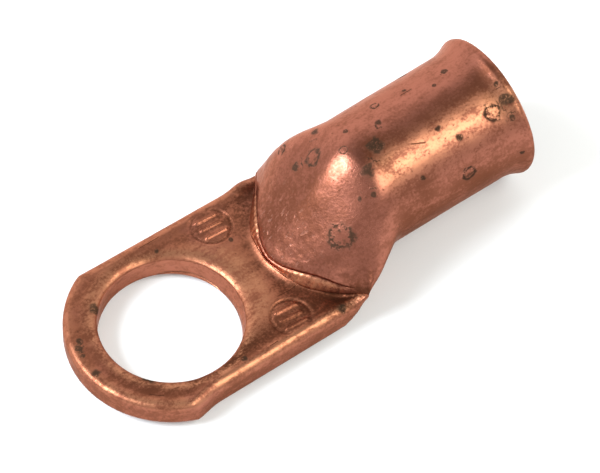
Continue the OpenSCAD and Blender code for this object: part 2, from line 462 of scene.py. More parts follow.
# %% The folded edges
def edge_point(g):
    """The points at g (0 where the top's flat ends, 1 where the underside's starts) of all the
    closed columns. Near the ears the edge is thinned and bent back as the nose's ring is."""
    half_w = np.where(edge_y < 0, near_ear, far_ear)
    top = half_w - top_r
    fold = math.pi / 2 * (top_r + low_r) + palm_t - top_r - low_r
    f = (top + g * fold) / (top + fold + half_w - low_r)
    y, z = flat_section(f, half_w, palm_t, top_r, low_r, ear_thin * (1 - ease(neck_k)))
    fade = 1 - ease((foot_ear_x - edge_x) / (2 * neck_l))
    swept = lip_line(np.full_like(f, g), y / half_w) - shoulder_run * shoulder(y / half_w)
    back = (swept - ear_x) * fade
    out = y - half_w
    return np.stack([edge_x + face_x * out + back, edge_y + face_y * out, z], axis=-1)


edge_middle = edge_point(0.5)
print(f"half way down, the edge runs from y {edge_middle[:, 1].min():.2f} "
      f"to {edge_middle[:, 1].max():.2f}")

# %% [markdown]
# ### The columns
#
# The punch went in from above: it drew the rim of the hole down into a wide soft round
# and left a sharper edge below. On one side the two walls of the pressed tube show in the
# hole as a fine dark line, drawn down low.

# %% Where the columns end
foot = foot_ring(ring_f, ring_side)
top_outer = np.concatenate([foot[:OPEN_COLUMNS], edge_point(0)])
under_first = OPEN_COLUMNS + EDGE_ROWS
under_outer = np.concatenate([
    foot[under_first:under_first + OPEN_COLUMNS][::-1], edge_point(1)])
theta = np.arctan2(top_outer[:, 1], top_outer[:, 0])
columns = len(theta)
spoke = np.stack([np.cos(theta), np.sin(theta)], axis=-1)
room = np.hypot(top_outer[:, 0], top_outer[:, 1]) - hole_r
print(f"room between the hole and the folded edge: at least {room.min():.2f} mm")

# %% [markdown]
# A punch draws the metal down unevenly. Here the soft rim is widest toward the nose and
# deepest on the far side, so its width and depth are values per column.

# %% The hole's rim and seam
rim_w, rim_h = 1.1, 0.42          # the soft rim: how wide and how deep
nose_rim_w, nose_rim_h = 0.7, 0.12    # how much wider and deeper it is toward the nose
far_rim_h, far_rim_turn = 0.25, 1.75  # how much deeper on the far side, and where, in radians
rim_room = 0.7                    # share of the room beside the hole that the rim may take
low_rim = 0.15                    # rounding of the lower rim
seam_turn, seam_top = 38, 0.5     # direction of the seam in degrees, and its height
seam_deep, seam_half = 0.2, 0.05  # depth and half height of the seam
seam_spread = 0.5                 # half the angle over which the seam shows, in radians

toward_nose = bell(theta, 0.6)
soft_w = np.minimum(rim_w + nose_rim_w * toward_nose, rim_room * room)
soft_h = rim_h + nose_rim_h * toward_nose + far_rim_h * bell(theta - far_rim_turn, 0.45)
seam_z = (seam_top + 0.05) * bell(np.abs(theta - math.radians(seam_turn)), seam_spread) - 0.05
seam_z = np.clip(seam_z, low_rim, None)
seam_open = ease((seam_z - low_rim) / 0.15)
print(f"the rim is {soft_h.min():.2f} to {soft_h.max():.2f} deep, the seam {seam_z.max():.2f} up")

# %% [markdown]
# All columns have the same rows, so a row is made for all of them at once, as one array. In
# the hole's wall the rows are crowded into the seam, which is too fine for evenly spaced
# ones.

# %% Columns of the palm
UNDER_ROWS, LOW_RIM_ROWS, WALL_ROWS, RIM_ROWS, TOP_ROWS = 9, 3, 17, 10, 58
SEAM_SHARE = 0.4       # share of the wall's rows that lie in the seam


def hole_point(extra, z):
    """A point on every column at a distance extra outside the hole's wall, at height z."""
    return np.column_stack([spoke * (hole_r + extra)[:, None], z])


def main_columns():
    """The columns, bottom to top: in under the palm, the lower rim, up the wall with its seam,
    over the soft rim, and out over the top."""
    ones = np.ones(columns)
    rows = []
    inner = hole_point(low_rim * ones, 0 * ones)
    for v in np.linspace(0, 1, UNDER_ROWS + 1)[:-1]:
        row = mix(under_outer, inner, v)
        gone = np.linalg.norm(row[:, :2] - under_outer[:, :2], axis=1)
        row[:, 2] = under_outer[:, 2] * (1 - ease(gone / neck_l))
        rows.append(row)
    for a in np.linspace(0, math.pi / 2, LOW_RIM_ROWS + 1)[:-1]:
        rows.append(hole_point(low_rim * (1 - np.sin(a)) * ones, low_rim * (1 - np.cos(a)) * ones))
    wall_top = palm_t - soft_h
    for v in np.linspace(-1, 1, WALL_ROWS):
        near_seam = seam_z + seam_half * 2 * np.clip(v / SEAM_SHARE, -1, 1)
        beyond = np.clip((abs(v) - SEAM_SHARE) / (1 - SEAM_SHARE), 0, 1)
        target = low_rim if v < 0 else wall_top
        z = mix(near_seam, target, beyond)
        groove = seam_deep * seam_open * bell(z - seam_z, seam_half)
        rows.append(hole_point(groove, np.maximum(z, low_rim)))
    for a in np.linspace(0, math.pi / 2, RIM_ROWS + 1)[1:]:
        rows.append(hole_point(
            soft_w * (1 - np.cos(a)), palm_t - soft_h * (1 - np.sin(a))))
    rim = hole_point(soft_w, palm_t * ones)
    for v in np.linspace(0, 1, TOP_ROWS + 1)[1:]:
        rows.append(mix(rim, top_outer, v))
    return np.stack(rows, axis=1)


main = main_columns()
edges = np.stack([edge_point(g) for g in edge_g], axis=1)
print("palm grid:", main.shape[:2], "edge grid:", edges.shape[:2])

# %% [markdown]
# ### The rings
#
# From the foot of the step the rings climb to the lip, go up the nose to the round tube,
# along it and out over the flare, round its lip and back inside, to the place where the
# two walls are pressed together. They crowd toward the lip, where the press has left a
# sharp crease.
#
# The mouth was opened with a cone, so that the cable's strands slip in. The flare is a
# profile carried round the tube's axis: an arc outside, a half round lip and an arc inside.

# %% The flare's profile
flare_l = 3.0          # length of the flared mouth
flare_rise = 0.6       # how far it opens
FLARE_RINGS, LIP_RINGS = 12, 8
flare_x = mouth_x - flare_l


def flare_profile():
    """The flare's section as (x, radius): an arc that leaves the tube at a tangent, a half round
    lip, and the same arc back inside, one wall thick."""
    run = flare_l - wall / 2
    whole_turn = 2 * math.atan(flare_rise / run)
    arc_r = run / math.sin(whole_turn)
    a = np.linspace(0, whole_turn, FLARE_RINGS + 1)
    mid_x, mid_r = flare_x + arc_r * np.sin(a), tube_r - wall / 2 + arc_r * (1 - np.cos(a))
    outer = np.stack([mid_x - wall / 2 * np.sin(a), mid_r + wall / 2 * np.cos(a)], axis=-1)
    inner = np.stack([mid_x + wall / 2 * np.sin(a), mid_r - wall / 2 * np.cos(a)], axis=-1)
    b = np.linspace(0, math.pi, LIP_RINGS + 2)[1:-1] - whole_turn
    lip = np.stack([mid_x[-1] + wall / 2 * np.sin(b), mid_r[-1] + wall / 2 * np.cos(b)], axis=-1)
    return np.concatenate([outer[1:], lip, inner[::-1]])


print(f"the mouth is {2 * flare_profile()[:, 1].max():.2f} across")

# %% [markdown]
# The rings are strung together in the order in which a finger would follow the metal, from
# the foot of the step to the end of the hollow.

# %% Rings of the nose and the tube
STEP_RINGS, NOSE_RINGS, TUBE_RINGS, BORE_RINGS, HOLLOW_RINGS = 10, 64, 34, 8, 8
LIP_CROWDING = 1.4     # how much closer the nose's rings stand at the lip
HOLLOW_END = 0.93      # share of the nose's length over which the two walls stand apart


def all_rings():
    """Every ring after the foot, from the step to the end of the hollow."""
    lip = lip_ring(ring_f, ring_side)
    rings = [mix(foot, lip, k) for k in np.linspace(0, 1, STEP_RINGS + 1)[1:]]
    along = 1 - np.linspace(0, 1, NOSE_RINGS + 1)[1:] ** LIP_CROWDING
    rings += [nose_ring(ring_f, ring_side, s) for s in along]
    rings += [round_ring(ring_f, ring_side, x, tube_r)
              for x in np.linspace(tube_x, flare_x, TUBE_RINGS + 1)[1:]]
    rings += [round_ring(ring_f, ring_side, x, r) for x, r in flare_profile()]
    rings += [round_ring(ring_f, ring_side, x, bore_r)
              for x in np.linspace(flare_x, tube_x, BORE_RINGS + 1)[1:]]
    rings += [hollow_ring(ring_f, ring_side, s)
              for s in np.linspace(0, HOLLOW_END, HOLLOW_RINGS + 1)[1:]]
    return np.stack(rings)


rings = all_rings()
print("ring grid:", rings.shape[:2])

# %% [markdown]
# ### Joining the grids
#
# Every grid gives its points a number, and a face is four numbers. Going first along a
# column and then to the next one turns all faces the same way, outwards.

# %% Numbering
def numbered(first, shape):
    """Numbers for a grid of points of this shape, counted on from first."""
    return first + np.arange(math.prod(shape)).reshape(shape)


main_id = numbered(0, main.shape[:2])
edge_id = numbered(main_id.size, edges.shape[:2])
far_foot_id = numbered(edge_id.max() + 1, (EDGE_ROWS,))
near_foot_id = numbered(far_foot_id[-1] + 1, (EDGE_ROWS,))
ring_id = numbered(near_foot_id[-1] + 1, rings.shape[:2])
foot_id = np.concatenate([
    main_id[:OPEN_COLUMNS, -1], far_foot_id, main_id[:OPEN_COLUMNS, 0][::-1], near_foot_id])
points = np.concatenate([
    main.reshape(-1, 3), edges.reshape(-1, 3),
    foot[OPEN_COLUMNS:OPEN_COLUMNS + EDGE_ROWS], foot[-EDGE_ROWS:], rings.reshape(-1, 3)])
print(len(points), "points")


# %% [markdown]
# Four groups of faces close the skin. Rolling the numbers by one pairs each line of points
# with the next, and the last with the first.

# %% Faces
def quads(rows_a, rows_b):
    """Faces between two neighbouring lines of points: along the first, then across."""
    return np.stack([rows_a[:-1], rows_a[1:], rows_b[1:], rows_b[:-1]], axis=-1)


# the palm, all round the hole
next_column = np.roll(main_id, -1, axis=0)
main_faces = quads(main_id.T, next_column.T).reshape(-1, 4)
# over the edge, from the far ear round the end to the near ear
closed_edge = np.concatenate([far_foot_id[None], edge_id, near_foot_id[::-1][None]])
closed_column = np.concatenate([np.arange(OPEN_COLUMNS - 1, columns), [0]])
closed_edge = np.concatenate([
    main_id[closed_column, -1][:, None], closed_edge, main_id[closed_column, 0][:, None]], axis=1)
edge_faces = quads(closed_edge[:-1].T, closed_edge[1:].T).reshape(-1, 4)
# the step, the nose, the tube and its inside
all_ring_id = np.concatenate([foot_id[None], ring_id])
ring_faces = quads(all_ring_id, np.roll(all_ring_id, -1, axis=1)).reshape(-1, 4)
# and the end of the hollow, closed like a flat bag
last = ring_id[-1]
last_top, last_under = last[:OPEN_COLUMNS], last[under_first:under_first + OPEN_COLUMNS][::-1]
cap_faces = np.stack([last_top[1:], last_top[:-1], last_under[:-1], last_under[1:]], axis=-1)
far_cap = [last_top[-1], last_under[-1], *last[OPEN_COLUMNS:under_first][::-1]]
near_cap = [last_under[0], last_top[0], *last[-EDGE_ROWS:][::-1]]
faces = [*main_faces.tolist(), *edge_faces.tolist(), *ring_faces.tolist(), *cap_faces.tolist(),
         [int(i) for i in far_cap], [int(i) for i in near_cap]]
print(len(faces), "faces")

# %% [markdown]
# ### The mesh
#
# Blender measures in metres, so the millimetres are turned over as the points go in. The
# object stays at the origin, unturned and unscaled, because its place is already in the
# numbers of its mesh. Smooth shading hides the facets between points that stand so close.

# %% The mesh
scene = bpy.context.scene
mesh = bpy.data.meshes.new("lug_skin")
mesh.from_pydata((points * MM).tolist(), [], faces)
mesh.update()
mesh.polygons.foreach_set("use_smooth", np.ones(len(faces), bool))
lug = bpy.data.objects.new("copper_lug", mesh)
scene.collection.objects.link(lug)
print("mesh", mesh.name, "on object", lug.name)

# %% [markdown]
# ## The marks of the press
#
# So far every surface is as true as the die. A real pressing is not: the palm is dished
# and has raised borders, the lip has a crease, and the metal is a little uneven
# everywhere. All of these are small, from a hundredth of a millimetre to a few tenths, and
# a little over half a millimetre where they add up beside the near ear. So they are laid
# on as relief: a height for each point, by which it moves along its normal.
#
# A height is a sum of simple terms, each a function of the place on the lug. Most are bell
# curves, and read like this: 0.02 * bell(from_lip - 0.8, 0.5) is a swell 0.02 mm high that
# lies 0.8 mm behind the lip and fades over 0.5 mm.
#
# The terms need to know what a point belongs to, so four values are kept per point: shares
# that are 1 on the palm and on the round tube, and the distances to the foot and to the lip
# of the step.

# %% What each point belongs to
FAR_AWAY = 99.0
is_palm = np.zeros(len(points))
is_palm[:near_foot_id[-1] + 1] = 1
from_foot = np.full(len(points), FAR_AWAY)
palm_points = points[:edge_id.max() + 1]
foot_top = foot[:OPEN_COLUMNS]
from_foot[:len(palm_points)] = np.hypot(
    palm_points[:, :1] - foot_top[:, 0], palm_points[:, 1:2] - foot_top[:, 1]).min(axis=1)
from_lip = np.full(len(points), FAR_AWAY)
lip_points = rings[STEP_RINGS - 1]
step_size = np.linalg.norm(rings[:STEP_RINGS] - lip_points, axis=-1)
nose_size = np.linalg.norm(rings[STEP_RINGS:STEP_RINGS + NOSE_RINGS] - lip_points, axis=-1)
from_lip[ring_id[:STEP_RINGS]] = -step_size
from_lip[ring_id[STEP_RINGS:STEP_RINGS + NOSE_RINGS]] = nose_size
is_tube = ease((points[:, 0] - tube_x + 2) / 3)
print("points on the palm:", int(is_palm.sum()))

# %% [markdown]
# ### Unevenness
#
# A shader has noise of its own, but relief needs numbers. A few plane waves with random
# headings, added up, are smooth everywhere and cost one product of matrices. The draw has a
# fixed seed, so the lug comes out the same each time.

# %% Normals and unevenness
def read_normals(mesh):
    """The mesh's normals at its points, as an array."""
    normals = np.zeros(len(mesh.vertices) * 3)
    mesh.vertices.foreach_get("normal", normals)
    return normals.reshape(-1, 3)


def uneven(p, length, seed, waves=14):
    """Smooth unevenness, mostly between -1 and 1: a sum of plane waves of about the given
    length, in directions drawn with a fixed seed."""
    draw = np.random.default_rng(seed)
    heads = draw.normal(size=(waves, 3))
    heads /= np.linalg.norm(heads, axis=1)[:, None]
    lengths = length * draw.uniform(0.7, 1.5, waves)
    phases = draw.uniform(0, 2 * math.pi, waves)
    turns = p @ (heads / lengths[:, None] * 2 * math.pi).T + phases
    return np.sin(turns).sum(axis=1) / math.sqrt(waves)


normals = read_normals(mesh)
x, y, z = points.T
upward = np.clip(normals[:, 2], 0, 1)
on_top = is_palm * ease((upward - 0.2) / 0.6)
near_side = ease(-y / 3)
print("points on the palm's top:", int((on_top > 0.5).sum()))

# %% [markdown]
# ### The palm's own relief
#
# The folded edges stand a little proud with a shallow valley inside them, since the metal
# in a fold is stiffer than the flat beside it. The valley deepens into a pocket at the near
# ear. The palm sinks a little toward the foot of the step all along it, and in the middle
# it turns up again just before the foot, in a small fillet.

# %% Borders, valley and pocket
proud_at, proud_h = 0.9, 0.05     # the proud border: distance from the edge, and height
valley_at, valley_h = 2.1, 0.15   # the valley inside it: distance from the edge, and depth
POCKET = (14.2, -7.0)             # the pocket at the near ear
FAR_POCKET = (13.4, 7.4)          # and a shallower one at the far ear

from_side = np.where(y < 0, plain_half(x, -1), plain_half(x, 1)) - np.abs(y)
from_end = end_r - np.hypot(x, y)
from_edge = np.where(x < corner_x, np.minimum(from_end, from_side + 1), from_side)
border_share = np.where(x < corner_x, 0.75, 1.0) * mix(0.45, 1, near_side)
border = border_share * (proud_h * bell(from_edge - proud_at, 0.35)
                         - valley_h * bell(from_edge - valley_at, 0.9))
foot_sink = -mix(0.18, 0.24, near_side)
foot_rise = 0.32 * ease((4.8 - np.abs(y)) / 2.5)
fillet = np.clip(1 - from_foot / 0.95, 0, 1) ** 2
foot_valley = foot_sink * bell(from_foot, 1.7) + foot_rise * fillet
pocket_along = (x - POCKET[0]) * 0.8 - (y - POCKET[1]) * 0.6
pocket_across = (x - POCKET[0]) * 0.6 + (y - POCKET[1]) * 0.8
pocket = -0.28 * bell(pocket_along, 1.9) * bell(pocket_across, 0.75)
far_pocket = -0.15 * bell(x - FAR_POCKET[0], 1.6) * bell(y - FAR_POCKET[1], 0.8)
sway = 0.022 * uneven(points, 9, seed=1) + 0.012 * uneven(points, 3, seed=2)
palm_relief = on_top * (border + foot_valley + pocket + far_pocket + sway)
print(f"palm relief from {palm_relief.min():.2f} to {palm_relief.max():.2f} mm")

# %% [markdown]
# ### The lip and the nose
#
# The lip is a crease: a thin groove right at the edge, and behind it the metal rolls over
# before it climbs the nose. The die also left the step's face finely ribbed and the front
# of the nose pebbled with tiny dents. Where the tube begins, the bend has pulled a shallow
# valley across its near shoulder.

# %% Lip, step and nose
RIB_GAP = 0.55         # from one fine rib of the step's face to the next

upper_ring = (1 - is_palm) * ease((upward - 0.15) / 0.3)
crease = -0.13 * bell(from_lip, 0.13) * ease((y + 8.4) / 1.6)  # not at the near ear
roll = 0.02 * bell(from_lip - 0.8, 0.5)
ribs = 0.02 * np.sin(2 * math.pi * y / RIB_GAP + uneven(points, 2, seed=3)) * (from_lip < 0)
nose_front = ease(1 - from_lip / 9) * (from_lip > 0)
pebbles = 0.010 * uneven(points, 1.0, seed=4) + 0.008 * uneven(points, 0.6, seed=5)
nose_relief = upper_ring * (crease + roll + ribs + nose_front * pebbles)
print(f"nose relief from {nose_relief.min():.2f} to {nose_relief.max():.2f} mm")

# %% [markdown]
# The tube was drawn through a ring, which leaves it smooth but not quite true. A slow sway of
# two hundredths of a millimetre is enough to make its long highlight waver.

# %% The bend and the tube
bend_turn = np.degrees(np.arctan2(y, z - axis_h))
bend_valley = -0.13 * (1 - is_palm) * bell(x - tube_x + 0.1, 0.8) * bell(bend_turn + 22, 34)
drawn_sway = 0.020 * uneven(points, 7, seed=6) + 0.006 * uneven(points, 1.6, seed=7)
behind_lip = (1 - is_palm) * ease((from_lip - 4) / 4)
tube_relief = bend_valley * ease((z - axis_h) / 2) + behind_lip * drawn_sway
print(f"tube relief from {tube_relief.min():.2f} to {tube_relief.max():.2f} mm")

# %% [markdown]
# ### The rim
#
# On the side toward the nose the punch has left a second, ragged line just under the
# rounded rim, and there the lower wall of the pressed tube stands out a little. That wall
# moves toward the hole's axis, so it is kept apart from the relief until later.

# %% The ragged line under the rim
radius = np.hypot(x, y)
angle = np.arctan2(y, x)
on_wall = is_palm * (radius < hole_r + 0.9) * (z > 0.3)
ragged = palm_t - 0.62 + 0.05 * uneven(points * [1, 1, 0], 1.5, seed=8)
lower_wall = is_palm * 0.30 * bell(angle + 0.25, 0.9) * ease((1.7 - z) / 0.6) * ease(
    (hole_r + 1.0 - radius) / 0.8)
rim_crest = on_top * 0.06 * bell(radius - hole_r - 1.2, 0.4) * bell(angle - 2.15, 0.55)
rim_line = rim_crest + on_wall * bell(angle - 0.5, 0.9) * 0.09 * bell(z - ragged, 0.07)
print(f"the rim's line stands out {rim_line.max():.2f}, the lower wall {lower_wall.max():.2f} mm")

# %% [markdown]
# ### Die stamps
#
# Such lugs carry small round die stamps, one on each side of the palm. These are plain
# ones: a shallow disc with a ring near its border and three raised bars. Where a stamp runs
# into the folded edge it fades out, as it does when it is pressed on a rounding.

# %% Two plain stamps
STAMPS = [(9.0, 6.2), (9.0, -6.2)]
stamp_r, stamp_turn = 2.15, math.radians(-4)
bar_gap, bar_half_w, bar_half_l = 0.95, 0.17, 1.15


def stamp(u, v):
    """The depth of a stamp at u, v: a shallow disc, a groove for the ring, and three bars."""
    r = np.hypot(u, v)
    disc = -0.05 * ease((stamp_r - r) / 0.2)
    ring = -0.09 * bell(r - stamp_r + 0.3, 0.14)
    bars = sum(0.15 * bell(v - at, bar_half_w) * ease((bar_half_l - np.abs(u)) / 0.2 + 0.5)
               for at in (-bar_gap, 0, bar_gap))
    return disc + ring + bars


stamp_relief = 0
for stamp_x, stamp_y in STAMPS:
    u = (x - stamp_x) * math.cos(stamp_turn) + (y - stamp_y) * math.sin(stamp_turn)
    v = (y - stamp_y) * math.cos(stamp_turn) - (x - stamp_x) * math.sin(stamp_turn)
    stamp_relief = stamp_relief + stamp(u, v) * on_top * (np.hypot(u, v) < stamp_r + 1)
stamp_relief *= ease((from_side - 0.65) / 0.5)
print(f"stamps from {stamp_relief.min():.2f} to {stamp_relief.max():.2f} mm")

# %% [markdown]
# ### Moving the points
#
# Relief moves a point along its normal. Three forms are shifts in a fixed direction
# instead, since normals fan out at a sharp corner and would tear it: the step goes down or
# up with the palm at its foot, the lower wall moves toward the hole's axis, and the tips of
# the ears stand up, the near one by a millimetre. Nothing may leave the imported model's box,
# so the result is held inside it.

# %% Shifts in a fixed direction
NEAR_EAR_LIFT, FAR_EAR_LIFT = 1.0, 0.55
near_ear_gap = np.hypot(x - foot_ear_x - 0.2, y + near_ear)
far_ear_gap = np.hypot(x - 13.9, y - far_ear)
ear_lift = NEAR_EAR_LIFT * bell(near_ear_gap, 1.5) + FAR_EAR_LIFT * bell(far_ear_gap, 1.1)
step_left = 1 - np.linspace(0, 1, STEP_RINGS + 1)[1:]
step_id = ring_id[:STEP_RINGS]
shift = np.zeros((len(points), 3))
shift[step_id, 2] = (foot_sink + foot_rise)[step_id] * step_left[:, None]
shift *= upper_ring[:, None]
shift[:, 0] -= lower_wall * np.cos(angle)
shift[:, 1] -= lower_wall * np.sin(angle)
shift[:, 2] += ear_lift * ease((z - 0.9) / 1.2)
print(f"the largest shift is {np.abs(shift).max():.2f} mm")

# %% [markdown]
# On the underside only hollows are kept, since it was pressed against a flat die and nothing
# may stand out below it.

# %% Move the points
relief = palm_relief + nose_relief + tube_relief + rim_line + stamp_relief
under = normals[:, 2] < -0.2
relief = np.where(under, np.minimum(relief, 0), relief)
moved = np.clip(points + normals * relief[:, None] + shift, low, high)
mesh.vertices.foreach_set("co", (moved * MM).ravel())
mesh.update()
print(f"relief from {relief.min():.2f} to {relief.max():.2f} mm")

# %% [markdown]
# ### Is the skin sound?
#
# A skin that is sewn together from two grids is worth a check. It is closed if each edge is
# used by exactly two faces, and its faces point outwards if the volume comes out positive.

# %% Check the skin
def closed_volume(mesh):
    """Volume in mm3 that a closed mesh holds, positive where its faces point outwards."""
    mesh.calc_loop_triangles()
    corners = np.zeros(len(mesh.loop_triangles) * 3, np.int32)
    mesh.loop_triangles.foreach_get("vertices", corners)
    co = np.zeros(len(mesh.vertices) * 3)
    mesh.vertices.foreach_get("co", co)
    a, b, c = (co.reshape(-1, 3)[corners.reshape(-1, 3)] / MM).transpose(1, 0, 2)
    return float(np.einsum("ij,ij->i", a, np.cross(b, c)).sum() / 6)


edge_uses = np.sort(np.concatenate([
    np.stack([np.array(f), np.roll(f, -1)], axis=-1) for f in faces]), axis=1)
uses = np.unique(edge_uses, axis=0, return_counts=True)[1]
print(f"{(uses != 2).sum()} edges not used twice, volume {closed_volume(mesh):.1f} mm3, "
      f"{len(mesh.loop_triangles)} triangles")

# %% [markdown]
# ## Marks that the finish needs
#
# Tarnish, stains and scratches have sharp edges that even a fine mesh can't carry as
# values per point. But a point can carry where it is, seen from the nearest stain: its
# offset from the stain's middle, in units of the stain's radius. That is a straight
# function of place, so it stays exact between the points, and the shader draws an edge as
# crisp as it likes. Stains are given as a place seen from above and a radius, in
# millimetres, with a kind: 0 a full stain, 1 a ring that a drop has left.

# %% Where the stains are
STAINS = [
    # on the nose and its bend
    (17.7, 2.6, 0.95, 1), (18.2, 2.7, 0.5, 0), (16.3, 3.6, 0.6, 0), (17.3, 3.0, 0.45, 0),
    (22.0, -1.0, 1.0, 0), (20.1, -2.7, 0.85, 0), (15.7, -4.6, 1.35, 1), (15.9, -4.3, 0.4, 0),
    (15.4, -4.9, 0.3, 0), (18.3, -3.8, 0.3, 0), (19.5, -4.4, 0.35, 0), (19.7, 0.6, 0.45, 1),
    (20.9, 2.1, 0.3, 0), (19.5, 4.8, 0.5, 0), (17.0, 6.5, 0.6, 1), (13.2, -8.4, 0.6, 0),
    # on the tube
    (23.9, 1.0, 0.35, 0), (29.5, -4.3, 0.45, 0), (28.1, -2.9, 0.35, 0), (29.2, -6.3, 0.8, 1),
    (35.1, -3.9, 0.8, 0), (33.5, -4.0, 0.9, 1), (32.2, 2.1, 0.35, 0), (30.7, 1.3, 0.25, 0),
    (34.9, -2.2, 0.3, 0), (34.8, -6.8, 0.35, 0), (28.2, 2.7, 0.3, 0), (34.8, -5.1, 0.35, 0),
    (24.8, -5.3, 0.4, 0), (25.0, 3.0, 0.5, 1), (30.0, 5.5, 0.8, 0),
    # on the palm
    (-4.8, 5.0, 0.7, 0), (-7.9, 3.0, 0.45, 0), (-8.5, 2.4, 0.4, 0), (-8.7, 1.2, 0.35, 0),
    (-8.9, -0.7, 0.5, 0), (2.8, -7.2, 0.42, 0), (3.3, 6.7, 0.3, 0), (9.8, 3.9, 0.3, 0),
    (-2.0, -1.5, 0.8, 0),
]
REACH = 0.25           # how far from its place a stain may look for the skin, in mm
DROP_OFF = 40          # how many mm of height a mm beyond that costs


def surface_place(at_x, at_y):
    """The highest point of the skin within reach of a place seen from above."""
    gap = np.hypot(moved[:, 0] - at_x, moved[:, 1] - at_y)
    return moved[np.argmax(moved[:, 2] - DROP_OFF * np.maximum(gap - REACH, 0))]


def nearest(offsets, distances):
    """From one offset and one distance per mark and point, the offset to the nearest mark."""
    return offsets[np.argmin(distances, axis=0), np.arange(offsets.shape[1])]


places = np.array([surface_place(at_x, at_y) for at_x, at_y, size, kind in STAINS])
sizes, kinds = np.array(STAINS)[:, 2:].T
stain_offset = (moved[None] - places[:, None]) / sizes[:, None, None]
stain_distance = np.linalg.norm(stain_offset, axis=-1)
stain_kind = kinds[np.argmin(stain_distance, axis=0)]
stain = nearest(stain_offset, stain_distance)
print(len(STAINS), "stains, nearest offset", round(float(stain_distance.min()), 2))

# %% [markdown]
# A scratch is given by its two ends. Its offset has the share of its half length along it,
# from -1 to 1, and the distance across it in millimetres, so that the shader can cut it off
# at both ends and keep it thin.

# %% Where the scratches are
SCRATCHES = [
    (9.4, -3.6, 11.3, -3.7), (27.6, 2.4, 29.0, 2.4), (-6.4, -5.2, -5.2, -6.4),
    (2.0, 8.0, 4.5, 7.8), (25.0, -2.8, 26.4, -3.3), (5.4, -7.9, 6.6, -7.7),
]

starts = np.array([surface_place(line[0], line[1]) for line in SCRATCHES])
ends = np.array([surface_place(line[2], line[3]) for line in SCRATCHES])
middles, halves = (starts + ends) / 2, (ends - starts) / 2
half_lengths = np.linalg.norm(halves, axis=1)
headings = halves / half_lengths[:, None]
sideways = np.cross(headings, [0.25, 0.0, 1.0])
sideways /= np.linalg.norm(sideways, axis=1)[:, None]
away = moved[None] - middles[:, None]
away_length = np.linalg.norm(away, axis=-1)
along = np.einsum("mpi,mi->mp", away, headings) / half_lengths[:, None]
across_it = np.einsum("mpi,mi->mp", away, sideways)
beyond = np.maximum(np.abs(along) - 1, 0) * half_lengths[:, None]
scratch_distance = np.hypot(beyond, across_it)
scratch_offset = np.stack([along, across_it, 0.1 * away_length], axis=-1)
scratch = nearest(scratch_offset, scratch_distance + 0.2 * away_length)
print(len(SCRATCHES), "scratches, the longest", round(float(2 * half_lengths.max()), 2), "mm")

# %% [markdown]
# ## Soot, dirt, painted shade and painted highlights
#
# Besides the marks, the finish needs a few soft shares at each point. How brown the tarnish
# is: the palm was heated and pressed, and the tube was only drawn. How sooty it is: soot
# leaves dark patches, and the same share paints shade into the valleys, down the flanks and
# at the near ear, and a dark reflection along the top of the tube. How much dirt and painted
# shade lie in the hollows and creases, and how far the raised borders are rubbed bright, with
# painted highlights on them and on the tube, the rim, the step and a ring beside the hole.
#
# Most of these follow the forms. What is left are single patches, and a patch is given by
# its place, how far it reaches both ways, and its strength. On the tube a place is a
# distance along it and a turn in degrees from its top, to the far side if positive.

# %% Soft patches of soot and painted shade
# The two patches at the near ear, at y -6.6 and -8.3, are painted shade; the others are soot.
PALM_SOOT_AND_SHADE = [  # x, y, reach along x, reach along y, strength
    (*FAR_POCKET, 1.8, 1.2, 0.8), (12.8, -6.6, 2.0, 1.6, 1.0), (14.9, -8.3, 1.2, 0.8, 0.8),
    (9.5, -2.5, 2.5, 2.5, 0.6)]
HUMP_SOOT = [(14.0, 2.6, 3.6, 4.4, 0.9), (15.6, -1.0, 2.8, 3.0, 0.9)]
# Painted shade at the tip of the near ear.
EAR_SHADE = [(15.2, -8.2, 1.4, 1.0, 0.9)]
# The long patch low on the near side, at x 29, is painted shade; the others are soot.
TUBE_SOOT_AND_SHADE = [  # x, turn, reach along x, reach in degrees, strength
    (34.8, -25, 1.6, 25, 1.0), (tube_x, -15, 1.2, 18, 1.0), (29.0, -78, 7.0, 22, 0.5),
    (24.8, -62, 1.3, 12, 0.6)]


def patches_of(table, u, v):
    """A sum of soft patches at u, v: each is its strength times a bell curve both ways."""
    return sum(strength * bell(u - at_u, reach_u) * bell(v - at_v, reach_v)
               for at_u, at_v, reach_u, reach_v, strength in table)


not_palm = 1 - is_palm
on_tube = is_tube * not_palm
soot_and_shade_patches = (
    on_top * patches_of(PALM_SOOT_AND_SHADE, x, y) + not_palm * upward * patches_of(HUMP_SOOT, x, y)
    + not_palm * patches_of(EAR_SHADE, x, y) + on_tube * patches_of(TUBE_SOOT_AND_SHADE, x, bend_turn)
)
print(f"patches of soot: at most {soot_and_shade_patches.max():.2f}")

# %% [markdown]
# Two places get painted light of their own. A painted highlight lies on the far side of the
# rim, where the key lamp is mirrored, and painted shade darkens the corner beside the near
# ear, on the palm and under the lip.

# %% A painted highlight on the rim and painted shade at the near ear
step_face = (from_lip < -0.1) * upper_ring
# Painted highlight on the far side of the rim, where the key lamp is mirrored.
rim_highlight = on_top * bell(angle - far_rim_turn, 0.5) * bell(radius - hole_r - 0.35, 0.4)
ear_shade_on_palm = on_top * bell(from_foot, 0.9)
ear_shade_on_lip = (ease((normals[:, 2] + 0.4) / 0.3) * bell(np.minimum(from_lip, 0), 2.0)
               * bell(np.maximum(from_lip, 0), 0.3))
# Painted shade in the corner beside the near ear, on the palm and under the lip.
near_ear_shade = ease((-y - 5.8) / 1.8) * np.where(is_palm > 0, ear_shade_on_palm, ear_shade_on_lip)
print("points in the dirt of the near ear:", int((near_ear_shade > 0.5).sum()))
